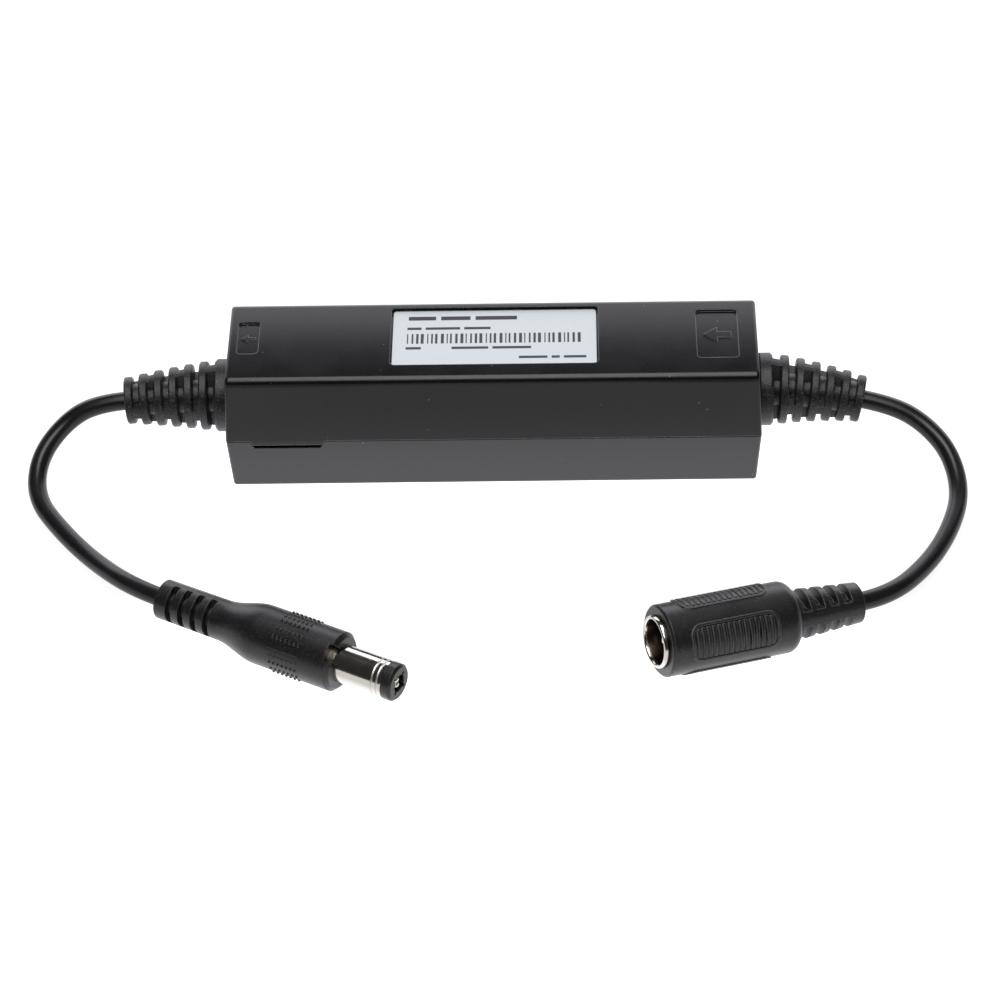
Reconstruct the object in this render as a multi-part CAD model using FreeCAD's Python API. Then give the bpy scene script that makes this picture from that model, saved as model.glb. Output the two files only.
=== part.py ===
import FreeCAD, Part
import math
import os

# In-line 12 V direct current power isolator with two short leads.
# X runs along the case from the output plug side (-X) to the input jack side (+X),
# the camera side of the case is -Y, and the case stands on Z = 0, centred on the origin.

Vector = FreeCAD.Vector
os.makedirs("parts", exist_ok=True)

# Case: two moulded half shells that meet at a parting line
case_length = 80.0
case_width = 19.4
case_height = 20.4
parting_drop = 1.1
wall = 1.8
roof_thickness = 1.8
floor_thickness = 1.8
upper_end_draft = 0.55
upper_side_draft = 0.3
lower_end_draft = 0.6
lower_side_draft = 0.5
long_edge_radius = 1.2
foot_edge_radius = 0.6
end_edge_radius = 0.5
fit_clearance = 0.1
parting_line_depth = 0.2
parting_line_height = 0.14

# Tongue round the lower shell, and the catches on it
tongue_height = 1.5
tongue_thickness = 0.8
catch_length = 6.0
catch_reach = 0.35
catch_height = 0.8
catch_rise = 0.3

# Pry notch in the front of the lower shell, with the upper shell's lip in it
notch_end_distance = 9.2
notch_top_length = 11.4
notch_foot_length = 9.8
notch_depth = 1.4
lip_gap = 0.6

# Recess and label on the roof, and the two small marking pockets
recess_length = 31.0
recess_side_margin = 2.9
recess_depth = 0.6
recess_centre = (0.3, 0.95)
recess_corner = 0.8
label_margin = 0.3
label_thickness = 0.15
pocket_depth = 0.35
pocket_corner = 0.7
output_pocket_size = (3.2, 7.6)
output_pocket_place = (3.5, 1.0)
input_pocket_size = (6.2, 11.4)
input_pocket_place = (6.5, 0.8)
arrow_height = 0.2

# Strain relief boots: collar, six ribs and the alternating windows between them
neck_radius = 3.4
flange_radius = 5.0
flange_thickness = 2.0
collar_radius = 5.5
collar_length = 1.95
collar_edge = 0.35
rib_count = 6
rib_thickness = 1.27
rib_gap = 1.0
first_rib_radius = 5.18
last_rib_radius = 3.55
rib_edge = 0.2
boot_core_radius = 2.4
upright_web_width = 1.6
level_web_width = 1.65
web_setback = 0.08
boot_overlap = 0.35
joint_overlap = 0.05
output_boot_bend_deg = 5.0
input_boot_bend_deg = 12.6
boot_droop_deg = 45.0

# Leads, and the route points that lie between boot and plug, and between boot and jack
lead_diameter = 2.8
output_route = [(-65.2, -2.1, 6.7), (-68.8, -6.9, 3.9), (-68.7, -13.9, 2.0), (-64.2, -20.9, 1.6),
                (-58.8, -27.8, 1.7)]
input_route = [(64.8, -3.9, 6.3), (68.4, -8.0, 4.0), (69.5, -14.9, 2.0), (67.3, -22.8, 1.7),
               (63.3, -30.6, 1.8)]
lead_exit_run = 4.8
lead_entry_run = 5.4

# Barrel plug: where its strain relief ends, where it points, and its sizes along its axis
plug_rear = (-47.3, -38.4, 3.79)
plug_azimuth_deg = -29.44
plug_lift_deg = 2.0
plug_roll_deg = -25.0
plug_relief_length = 10.3
plug_relief_rear_radius = 2.93
plug_relief_front_radius = 3.0
plug_flare_length = 6.8
plug_body_radius = 4.38
plug_front = 30.3
plug_front_edge = 0.6
plug_groove_count = 4
plug_groove_start = 1.95
plug_groove_pitch = 2.15
plug_groove_width = 1.0
plug_groove_core = 1.75
plug_web_width = 1.7
plug_notch_depth = 1.0
plug_notch_width = 2.7
plug_notch_turn_deg = 32.0

# Barrel and its inner pieces: the 5.5 mm plug that takes a 2.1 mm pin
barrel_radius = 2.75
barrel_wall = 0.4
barrel_root_radius = 3.5
barrel_step_radius = 3.1
barrel_root_start = 26.5
barrel_root_end = 28.4
barrel_end = 38.1
tip_length = 1.5
tip_chamfer = 0.35
tip_bore_radius = 1.3
tip_slot_width = 0.5
tip_slot_reach = 1.75
fork_root_length = 3.0
fork_outer_radius = 1.15
fork_slot_width = 0.9
fork_setback = 0.6

# Barrel jack: placed as the plug is, with a thicker body that carries four grip pads
jack_rear = (52.14, -40.55, 3.66)
jack_azimuth_deg = 202.5
jack_lift_deg = 7.2
jack_roll_deg = 27.0
jack_relief_length = 10.6
jack_relief_rear_radius = 2.95
jack_relief_front_radius = 3.75
jack_body_radius = 5.2
jack_body_length = 20.6
jack_shoulder_radius = 1.6
jack_front_edge = 0.3
jack_window_count = 4
jack_window_start = 1.95
jack_window_pitch = 2.26
jack_window_width = 1.35
jack_window_core = 1.8
jack_web_width = 2.2
pad_count = 4
pad_length = 13.6
pad_width = 5.5
pad_corner = 1.6
pad_centre = 21.5
pad_rise = 0.2
pad_border_width = 0.3
pad_rib_count = 15
pad_rib_pitch = 0.82
pad_rib_width = 0.42
pad_rib_gap = 0.25

# Socket pieces in the jack
socket_outer_radius = 3.8
socket_wall = 0.55
socket_proud = 0.8
socket_lip = 0.3
socket_depth = 11.4
socket_floor_thickness = 2.0
pin_radius = 1.0
pin_setback = 1.3
spring_thickness = 0.25
spring_width = 1.8
spring_bow = 0.4
spring_length = 7.6
socket_clearance = 0.05

# Circuit board and how it is held
board_end_gap = 5.5
board_side_gap = 2.4
board_thickness = 1.6
board_height = 4.2
ledge_length = 4.0
ledge_reach = 2.4
peg_radius = 0.7
peg_rise = 1.0
peg_inset = (1.3, 1.2)
post_size = (2.0, 1.6)
post_inset = (3.3, 0.95)
wire_pad_inset = 3.3
wire_pad_spacing = 4.4

# Transformer, choke and the parts that stand on the board
core_length = 10.2
core_headroom = 0.8
core_thickness = 4.8
core_limb = 1.3
core_centre_limb = 2.6
bobbin_foot = 1.2
bobbin_wall = 0.5
bobbin_flange = 0.7
bobbin_width = 10.6
winding_gap = 0.15
winding_corner = 1.2
choke_place = (11.0, 1.6)
choke_outer_radius = 4.5
choke_inner_radius = 2.2
choke_height = 4.2
choke_stand = 1.9
choke_wire = 0.6
choke_sector_deg = 120.0
choke_leg_width = 1.2
capacitor_radius = 3.15
capacitor_headroom = 1.3
capacitor_groove_depth = 0.25
capacitor_groove_width = 0.7
capacitor_groove_height = 1.4
capacitor_vent_length = 5.0
capacitor_vent_width = 0.3
capacitor_vent_depth = 0.15
input_capacitor_place = (19.8, 2.0)
output_capacitor_place = (-18.5, 1.5)
disc_radius = 3.4
disc_thickness = 2.4
disc_stand = 1.0
disc_leg_radius = 0.3
disc_leg_spacing = 4.0
disc_place = (-10.2, 4.2)
chip_size = (2.0, 1.25, 0.6)
chip_places = [(-15.4, 0.6), (-15.4, 3.4), (-20.2, -3.6), (-20.2, -0.8), (-20.2, 3.8), (20.2, 4.2),
               (20.2, 0.6), (16.6, 3.8)]

# Moulded packages: body size, place, legs on each side, their pitch, and how far they reach
package_stand = 0.1
package_leg_width = 0.45
package_leg_root = 0.1
packages = {
    "controller_chip": ((4.9, 3.9, 1.4), (10.0, 0.0), 4, 1.27, 1.05),
    "optocoupler": ((4.4, 4.6, 2.0), (-9.8, -3.6), 2, 2.54, 1.1),
    "rectifier_diode": ((4.3, 2.6, 2.2), (-16.6, -4.6), 1, 1.0, 0.5),
    "switching_transistor": ((6.5, 3.0, 1.6), (8.8, -4.0), 3, 2.3, 0.5),
    "input_fuse": ((5.4, 2.5, 1.8), (20.0, -4.6), 1, 1.0, 0.3),
}

# Insulated wires from the boots' inner faces down to the board
wire_radius = 0.6
wire_spacing = 1.6
wire_exit_run = 2.2
wire_drop_run = 2.5

half_length = case_length / 2
half_width = case_width / 2
ceiling_height = case_height - roof_thickness
boot_axis_height = case_height / 2
parting_height = boot_axis_height - parting_drop
catch_spread = case_length / 2
notch_centre_x = notch_end_distance - half_length
recess_width = case_width - 2 * recess_side_margin
output_pocket_centre = (output_pocket_place[0] - half_length, output_pocket_place[1])
input_pocket_centre = (half_length - input_pocket_place[0], input_pocket_place[1])
board_length = case_length - 2 * board_end_gap
board_width = case_width - 2 * board_side_gap
board_top = board_height + board_thickness
peg_centre = (board_length / 2 - peg_inset[0], board_width / 2 - peg_inset[1])
post_centre = (board_length / 2 - post_inset[0], board_width / 2 - post_inset[1])
core_height = ceiling_height - board_top - bobbin_foot - core_headroom
capacitor_height = ceiling_height - board_top - capacitor_headroom
flange_outer_x = half_length - upper_end_draft - wall - fit_clearance
boot_length = collar_length + rib_count * (rib_gap + rib_thickness)
X_AXIS = Vector(1, 0, 0)
Y_AXIS = Vector(0, 1, 0)
Z_AXIS = Vector(0, 0, 1)


# Basic shapes
def block(size, centre, foot):
    """An upright box with its plan centre at centre and its lowest face at foot."""
    corner = Vector(centre[0] - size[0] / 2, centre[1] - size[1] / 2, foot)
    return Part.makeBox(size[0], size[1], size[2], corner)


def rod(radius, length, start, axis=X_AXIS):
    return Part.makeCylinder(radius, length, start, axis)


def frustum(low, high):
    """A drafted box between two level rectangles, each given as half sizes and height."""
    rings = []
    for half_x, half_y, height in (low, high):
        rings.append([Vector(half_x * sx, half_y * sy, height)
                      for sx, sy in ((-1, -1), (1, -1), (1, 1), (-1, 1))])
    outlines = [rings[0][::-1], rings[1]]
    for i in range(4):
        j = (i + 1) % 4
        outlines.append([rings[0][i], rings[0][j], rings[1][j], rings[1][i]])
    faces = [Part.Face(Part.makePolygon(points + points[:1])) for points in outlines]
    return Part.makeSolid(Part.makeShell(faces))


def rounded_plate(size, centre, foot, height, corner):
    """A plate with rounded upright edges."""
    plate = block((size[0], size[1], height), centre, foot)
    upright = [e for e in plate.Edges if abs(e.tangentAt(e.FirstParameter).z) > 0.99]
    return plate.makeFillet(corner, upright)


def revolved(outline):
    """A turned solid round the X axis from (x, radius) points, closed along the axis."""
    points = [Vector(x, 0, r) for x, r in outline]
    edges = Part.makePolygon(points + points[:1])
    return Part.Face(edges).revolve(Vector(0, 0, 0), X_AXIS, 360)


def fused(first, others):
    return first.multiFuse(others).removeSplitter() if others else first


def in_frame(shape, origin, azimuth_deg, lift_deg, roll_deg):
    """Place a shape modelled along +X: rolled on its axis, lifted, and turned about Z."""
    roll = FreeCAD.Rotation(X_AXIS, roll_deg)
    lift = FreeCAD.Rotation(Y_AXIS, -lift_deg)
    turn = FreeCAD.Rotation(Z_AXIS, azimuth_deg)
    frame = FreeCAD.Placement(Vector(*origin), turn.multiply(lift).multiply(roll))
    placed = shape.copy()
    placed.Placement = frame.multiply(placed.Placement)
    return placed


def tube(points, radius):
    """A round tube along straight runs joined by tangent arcs, with the arcs' radii and its length."""
    nodes = [Vector(*p) for p in points]
    edges = []
    radii = []
    start = nodes[0]
    for before, corner, after in zip(nodes, nodes[1:], nodes[2:]):
        into = corner.sub(before)
        away = after.sub(corner)
        shorter = min(into.Length, away.Length)
        turn = into.getAngle(away)
        bend = 0.45 * shorter / math.tan(turn / 2)
        into.normalize()
        away.normalize()
        first = corner.sub(into * (0.45 * shorter))
        last = corner.add(away * (0.45 * shorter))
        inward = away.sub(into)
        inward.normalize()
        centre = corner.add(inward * (bend / math.cos(turn / 2)))
        middle = centre.sub(inward * bend)
        edges.append(Part.LineSegment(start, first).toShape())
        edges.append(Part.Arc(first, middle, last).toShape())
        radii.append(bend)
        start = last
    edges.append(Part.LineSegment(start, nodes[-1]).toShape())
    path = Part.Wire(edges)
    heading = nodes[1].sub(nodes[0])
    section = Part.Wire([Part.makeCircle(radius, nodes[0], heading)])
    return path.makePipeShell([section], True, False), radii, path.Length


# Case
def upper_half(height, inset=0.0):
    """Half sizes of the upper shell's drafted outside at a height."""
    share = (height - parting_height) / (case_height - parting_height)
    return (half_length - upper_end_draft * share - inset,
            half_width - upper_side_draft * share - inset, height)


def lower_half(height, inset=0.0):
    """Half sizes of the lower shell's drafted outside at a height."""
    share = 1 - height / parting_height
    return (half_length - lower_end_draft * share - inset,
            half_width - lower_side_draft * share - inset, height)


def softened(shell, closed_height, long_radius, low, high):
    """Round the long edges of the closed face, then the outline of both end faces."""
    def on_closed_face(edge):
        return all(abs(v.Z - closed_height) < 1e-6 for v in edge.Vertexes)
    long_edges = [e for e in shell.Edges if on_closed_face(e) and e.Length > case_length / 2]
    shell = shell.makeFillet(long_radius, long_edges)
    open_height = low if closed_height == high else high
    end_edges = []
    for face in shell.Faces:
        if abs(face.normalAt(0, 0).x) > 0.9:
            end_edges += [e for e in face.Edges
                          if not all(abs(v.Z - open_height) < 1e-6 for v in e.Vertexes)]
    return shell.makeFillet(end_edge_radius, end_edges)


def tongue_band(grow, height):
    """The upright ring that the tongue fills, grown by a clearance on its outer side."""
    reach = tongue_thickness - wall + grow
    outer = Part.makeBox(case_length + 2 * reach, case_width + 2 * reach, height,
                         Vector(-half_length - reach, -half_width - reach, parting_height))
    inner = Part.makeBox(case_length - 2 * wall, case_width - 2 * wall, height,
                         Vector(-half_length + wall, -half_width + wall, parting_height))
    return outer, inner


def parting_line():
    """The shallow frame that the lower shell loses along its outer upper edge."""
    foot = parting_height - parting_line_height
    size = (case_length + 2, case_width + 2, parting_line_height)
    inner_size = (case_length - 2 * parting_line_depth, case_width - 2 * parting_line_depth,
                  parting_line_height)
    return block(size, (0, 0), foot).cut(block(inner_size, (0, 0), foot))


def notch_prism(top, foot, depth):
    """The pry notch's trapezoid, cut through the front wall below the parting line."""
    corners = [(-top / 2, 0), (top / 2, 0), (foot / 2, -depth), (-foot / 2, -depth)]
    points = [Vector(notch_centre_x + x, -half_width - 1, parting_height + z) for x, z in corners]
    face = Part.Face(Part.makePolygon(points + points[:1]))
    return face.extrude(Vector(0, 1 + wall - tongue_thickness - fit_clearance, 0))


def catch_places():
    return [(sx * catch_spread / 2, sy) for sx in (-1, 1) for sy in (-1, 1)]


def catch_wedge(x, side):
    """A snap catch on the outer side of the tongue, with a lead-in slope."""
    root = half_width - wall + tongue_thickness
    foot = parting_height + catch_rise
    profile = [(root - 0.2, foot), (root + catch_reach, foot), (root, foot + catch_height),
               (root - 0.2, foot + catch_height)]
    points = [Vector(x - catch_length / 2, side * y, z) for y, z in profile]
    return Part.Face(Part.makePolygon(points + points[:1])).extrude(Vector(catch_length, 0, 0))


def catch_pocket(x, side):
    root = half_width - wall + tongue_thickness
    reach = catch_reach + fit_clearance
    size = (catch_length + 2 * fit_clearance, reach + 1, catch_height + 2 * fit_clearance)
    centre_y = side * (root + reach - size[1] / 2)
    return block(size, (x, centre_y), parting_height + catch_rise - fit_clearance)


passage_radius = neck_radius + fit_clearance
passage_depth = wall + upper_end_draft + 3


def boot_passages():
    """Round passages for the boots' necks through both end walls."""
    return [rod(passage_radius, passage_depth, Vector(side * (half_length + 1), 0,
                boot_axis_height), Vector(-side, 0, 0)) for side in (-1, 1)]


def passage_slots():
    """Straight sides that open the upper shell's passages down to the parting line."""
    size = (passage_depth, 2 * passage_radius, boot_axis_height - parting_height + 1)
    return [block(size, (side * (half_length + 1 - passage_depth / 2), 0), parting_height - 1)
            for side in (-1, 1)]


def upper_shell():
    outside = frustum(upper_half(parting_height), upper_half(case_height))
    shell = softened(outside, case_height, long_edge_radius, parting_height, case_height)
    inside = frustum(upper_half(parting_height - 1, wall), upper_half(ceiling_height, wall))
    shell = shell.cut(inside)
    rebate, core = tongue_band(fit_clearance, tongue_height + fit_clearance)
    shell = shell.cut(rebate.cut(core))
    lip = notch_prism(notch_top_length - 2 * fit_clearance,
                      notch_foot_length + lip_gap, notch_depth - lip_gap)
    lip = lip.common(frustum(lower_half(0), lower_half(parting_height)))
    shell = shell.fuse(lip)
    cuts = [catch_pocket(x, side) for x, side in catch_places()]
    cuts += boot_passages() + passage_slots()
    cuts.append(rounded_plate((recess_length, recess_width), recess_centre,
                              case_height - recess_depth, recess_depth + 1, recess_corner))
    cuts += marking_pockets()
    shell = shell.cut(cuts)
    posts = [board_post(sx, sy) for sx in (-1, 1) for sy in (-1, 1)]
    return fused(shell, posts + marking_arrows())


def marking_pockets():
    """Two shallow pockets in the roof, one at each lead."""
    floor = case_height - pocket_depth
    return [rounded_plate(size, centre, floor, pocket_depth + 1, pocket_corner)
            for size, centre in ((output_pocket_size, output_pocket_centre),
                                 (input_pocket_size, input_pocket_centre))]


def marking_arrows():
    """A plain raised arrow in each pocket, along the way that the power flows (-X)."""
    arrows = []
    for size, centre in ((output_pocket_size, output_pocket_centre),
                         (input_pocket_size, input_pocket_centre)):
        half_x = size[0] * 0.34
        half_y = half_x * 0.8
        neck = half_x * 0.3
        corners = [(-half_x, 0), (0, half_y), (0, neck), (half_x, neck),
                   (half_x, -neck), (0, -neck), (0, -half_y)]
        floor = case_height - pocket_depth
        points = [Vector(centre[0] + x, centre[1] + y, floor - joint_overlap) for x, y in corners]
        face = Part.Face(Part.makePolygon(points + points[:1]))
        arrows.append(face.extrude(Vector(0, 0, arrow_height + joint_overlap)))
    return arrows


def board_post(side_x, side_y):
    """A post that hangs from the roof and holds the board down."""
    foot = board_top + fit_clearance
    height = ceiling_height - foot + joint_overlap
    centre = (side_x * post_centre[0], side_y * post_centre[1])
    return block((post_size[0], post_size[1], height), centre, foot)


def lower_shell():
    outside = frustum(lower_half(0), lower_half(parting_height))
    shell = softened(outside, 0.0, foot_edge_radius, 0.0, parting_height)
    inside = frustum(lower_half(floor_thickness, wall), lower_half(parting_height + 1, wall))
    shell = shell.cut(inside)
    tongue, core = tongue_band(0.0, tongue_height)
    shell = shell.fuse(tongue.cut(core))
    shell = shell.fuse([catch_wedge(x, side) for x, side in catch_places()])
    notch = notch_prism(notch_top_length, notch_foot_length, notch_depth)
    shell = shell.cut([notch, parting_line()])
    shell = shell.cut(boot_passages())
    supports = []
    for side_x in (-1, 1):
        for side_y in (-1, 1):
            supports.append(board_ledge(side_x, side_y))
        peg = Vector(side_x * peg_centre[0], side_x * peg_centre[1], board_height - joint_overlap)
        supports.append(rod(peg_radius, board_thickness + peg_rise, peg, Z_AXIS))
    return fused(shell, supports)


def board_ledge(side_x, side_y):
    """A ledge that rises from the floor against the side wall, under a corner of the board."""
    reach = ledge_reach + joint_overlap
    wall_face = lower_half(floor_thickness, wall)[1]
    centre = (side_x * (board_length - ledge_length) / 2,
              side_y * (wall_face + joint_overlap - reach / 2))
    height = board_height - floor_thickness + joint_overlap
    return block((ledge_length, reach, height), centre, floor_thickness - joint_overlap)


def rating_label():
    """The printed label's plain stock, laid in the roof's recess."""
    size = (recess_length - 2 * label_margin, recess_width - 2 * label_margin)
    return rounded_plate(size, recess_centre, case_height - recess_depth, label_thickness,
                         recess_corner - label_margin)


# Strain relief boots
def boot_point(travel, bend_deg):
    """Place and heading on the boot's bent axis, in the plane of its bend."""
    bend = math.radians(bend_deg)
    radius = boot_length / bend
    angle = travel / radius
    return radius * math.sin(angle), radius * (1 - math.cos(angle)), angle


def boot_element(shape, middle, bend_deg):
    """Move a piece modelled about the origin to its place on the bent axis."""
    along, aside, angle = boot_point(middle, bend_deg)
    place = FreeCAD.Placement(Vector(along, 0, -aside), FreeCAD.Rotation(Y_AXIS,
                                                                        math.degrees(angle)))
    placed = shape.copy()
    placed.Placement = place.multiply(placed.Placement)
    return placed


def rib_radius(index):
    share = index / (rib_count - 1)
    return first_rib_radius + (last_rib_radius - first_rib_radius) * share


def rib_middle(index):
    return collar_length + index * (rib_gap + rib_thickness) + rib_gap + rib_thickness / 2


def boot_web(index, length):
    """The two webs of one gap, upright in the first gap, level in the next, and so on."""
    upright = index % 2 == 0
    near = (rib_radius(index - 1) if index else collar_radius) - web_setback
    far = rib_radius(index) - web_setback
    width = upright_web_width if upright else level_web_width
    web = Part.makeBox(length, width, 2 * near, Vector(-length / 2, -width / 2, -near))
    web = web.common(Part.makeCone(near, far, length, Vector(-length / 2, 0, 0), X_AXIS))
    web.rotate(Vector(0, 0, 0), X_AXIS, boot_droop_deg + (0 if upright else 90))
    return web


def boot(bend_deg):
    """A boot along +X that bends towards -Z, with its inner flange behind X = 0."""
    flange_start = flange_outer_x - flange_thickness - half_length
    neck_start = flange_start + flange_thickness
    solids = [rod(neck_radius, -neck_start + joint_overlap, Vector(neck_start, 0, 0)),
              revolved([(0, 0), (0, collar_radius), (collar_length - collar_edge, collar_radius),
                        (collar_length, collar_radius - collar_edge), (collar_length, 0)])]
    for index in range(rib_count):
        radius = rib_radius(index)
        half = rib_thickness / 2
        rim = radius - rib_edge
        rib = revolved([(-half, 0), (-half, rim), (-half + rib_edge, radius),
                        (half - rib_edge, radius), (half, rim), (half, 0)])
        solids.append(boot_element(rib, rib_middle(index), bend_deg))
        gap_length = rib_gap + 2 * boot_overlap
        gap_middle = rib_middle(index) - rib_thickness / 2 - rib_gap / 2
        core = rod(boot_core_radius, gap_length, Vector(-gap_length / 2, 0, 0))
        solids.append(boot_element(core.fuse(boot_web(index, gap_length)), gap_middle, bend_deg))
    flange = rod(flange_radius, flange_thickness, Vector(flange_start, 0, 0))
    return fused(flange, solids)


def at_case_end(shape, side):
    """Turn a boot so that it leaves one end of the case and droops towards -Y and -Z."""
    placed = shape.copy()
    placed.rotate(Vector(0, 0, 0), X_AXIS, -boot_droop_deg)
    if side < 0:
        placed = placed.mirror(Vector(0, 0, 0), X_AXIS)
    placed.translate(Vector(side * half_length, 0, boot_axis_height))
    return placed


def boot_exit(side, bend_deg, run):
    """A point on the lead's axis, a run beyond the centre of the boot's outer end face."""
    along, aside, angle = boot_point(rib_middle(rib_count - 1), bend_deg)
    along += math.cos(angle) * (rib_thickness / 2 + run)
    aside += math.sin(angle) * (rib_thickness / 2 + run)
    droop = math.radians(boot_droop_deg)
    return (side * (half_length + along), -aside * math.sin(droop),
            boot_axis_height - aside * math.cos(droop))


def lead_points(side, bend_deg, route, frame):
    """A lead's route: straight out of the boot, by the chosen points, straight into the relief."""
    behind = in_frame(Part.Vertex(-lead_entry_run, 0, 0), *frame).Point
    return ([boot_exit(side, bend_deg, 0), boot_exit(side, bend_deg, lead_exit_run)] + route
            + [tuple(behind), frame[0]])


# Barrel plug, modelled along +X from the end of its strain relief
def flare_points(start, length, radius_a, radius_b, steps):
    """An S-shaped change of radius."""
    points = []
    for i in range(steps + 1):
        share = i / steps
        blend = share * share * (3 - 2 * share)
        points.append((start + length * share, radius_a + (radius_b - radius_a) * blend))
    return points


def turned_with_flare(rear_radius, relief_length, relief_radius, flare_length, body_radius,
                      front, front_edge):
    """A turned body whose flare is one smooth curve."""
    flare = flare_points(relief_length, flare_length, relief_radius, body_radius, 6)
    curve = Part.BSplineCurve()
    curve.interpolate([Vector(x, 0, r) for x, r in flare])
    ends = [(0, 0), (0, rear_radius), flare[0]]
    tail = [flare[-1], (front - front_edge, body_radius), (front, body_radius - front_edge),
            (front, 0)]
    edges = [Part.LineSegment(Vector(a[0], 0, a[1]), Vector(b[0], 0, b[1])).toShape()
             for a, b in list(zip(ends, ends[1:])) + list(zip(tail, tail[1:]))
             + [((front, 0), (0, 0))]]
    edges.append(curve.toShape())
    outline = Part.Wire(Part.__sortEdges__(edges))
    return Part.Face(outline).revolve(Vector(0, 0, 0), X_AXIS, 360)


def relief_groove(start, width, core_radius, web_width, webs_upright):
    """One groove round a strain relief, left open to both sides of two opposite webs."""
    outer = 2 * plug_body_radius
    ring = rod(outer, width, Vector(start, 0, 0)).cut(rod(core_radius, width, Vector(start, 0, 0)))
    web = Part.makeBox(width, web_width, 2 * outer, Vector(start, -web_width / 2, -outer))
    if not webs_upright:
        web.rotate(Vector(0, 0, 0), X_AXIS, 90)
    return ring.cut(web)


def barrel_outline(inner):
    """The barrel's outside as (x, radius) points from its root to its rim."""
    return [(barrel_root_start, inner), (barrel_root_start, barrel_root_radius),
            (barrel_root_end, barrel_root_radius), (barrel_root_end, barrel_step_radius),
            (plug_front, barrel_step_radius), (plug_front, barrel_radius),
            (barrel_end, barrel_radius), (barrel_end, inner)]


def plug_sleeve():
    return revolved(barrel_outline(barrel_radius - barrel_wall))


def plug_moulding():
    body = turned_with_flare(plug_relief_rear_radius, plug_relief_length, plug_relief_front_radius,
                             plug_flare_length, plug_body_radius, plug_front, plug_front_edge)
    cuts = [relief_groove(plug_groove_start + i * plug_groove_pitch, plug_groove_width,
                          plug_groove_core, plug_web_width, True)
            for i in range(plug_groove_count)]
    for side in (-1, 1):
        notch = block((2 * plug_notch_depth, plug_body_radius, plug_notch_width),
                      (plug_front, side * (barrel_radius + plug_body_radius / 2)),
                      -plug_notch_width / 2)
        notch.rotate(Vector(0, 0, 0), X_AXIS, -plug_notch_turn_deg)
        cuts.append(notch)
    bore = revolved(barrel_outline(0) + [(barrel_end, 0)])
    return body.cut(cuts + [bore])


def plug_insulator():
    """The inner tube with the tip ring, and four slots round its mouth."""
    inner = barrel_radius - barrel_wall
    end = barrel_end + tip_length
    outline = [(barrel_root_start, 0), (barrel_root_start, inner), (barrel_end, inner),
               (barrel_end, barrel_radius), (end - tip_chamfer, barrel_radius),
               (end, barrel_radius - tip_chamfer), (end, 0)]
    bore_start = barrel_root_start + fork_root_length
    bore = rod(tip_bore_radius, end - bore_start, Vector(bore_start, 0, 0))
    root_bore = rod(fork_outer_radius, fork_root_length, Vector(barrel_root_start, 0, 0))
    slots = []
    for turn in (0, 90):
        slot = Part.makeBox(tip_length, tip_slot_width, 2 * tip_slot_reach,
                            Vector(barrel_end, -tip_slot_width / 2, -tip_slot_reach))
        slot.rotate(Vector(0, 0, 0), X_AXIS, turn + plug_roll_deg)
        slots.append(slot)
    return revolved(outline).cut([bore, root_bore] + slots)


def plug_centre_contact():
    """A turned stem split into two prongs, which grip the jack's pin."""
    end = barrel_end + tip_length - fork_setback
    stem = rod(fork_outer_radius, end - barrel_root_start, Vector(barrel_root_start, 0, 0))
    slot_start = barrel_root_start + fork_root_length
    slot = Part.makeBox(end - slot_start, 2 * barrel_radius, fork_slot_width,
                        Vector(slot_start, -barrel_radius, -fork_slot_width / 2))
    return stem.cut(slot)


# Barrel jack, modelled along +X from the end of its strain relief
def jack_front():
    return jack_relief_length + jack_body_length


def pad_slice(size, corner, radius):
    """A rounded outline taken down to a drum round the jack's axis, on the body's underside."""
    plate = rounded_plate(size, (pad_centre, 0), -2 * jack_body_radius, 2 * jack_body_radius,
                          corner)
    return plate.common(rod(radius, jack_front(), Vector(0, 0, 0)))


def grip_pad():
    """One pad on the body's underside: a raised border, and ribs that stand clear of it."""
    radius = jack_body_radius + pad_rise
    inner_size = (pad_length - 2 * pad_border_width, pad_width - 2 * pad_border_width)
    border = pad_slice((pad_length, pad_width), pad_corner, radius)
    border = border.cut(pad_slice(inner_size, pad_corner - pad_border_width, 2 * radius))
    margin = pad_border_width + pad_rib_gap
    rib_size = (pad_length - 2 * margin, pad_width - 2 * margin)
    field = pad_slice(rib_size, pad_corner - margin, radius)
    ribs = []
    for i in range(pad_rib_count):
        x = pad_centre + (i - (pad_rib_count - 1) / 2) * pad_rib_pitch
        slab = block((pad_rib_width, pad_width, 2 * jack_body_radius), (x, 0),
                     -2 * jack_body_radius)
        ribs.append(field.common(slab))
    return border, ribs


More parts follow.
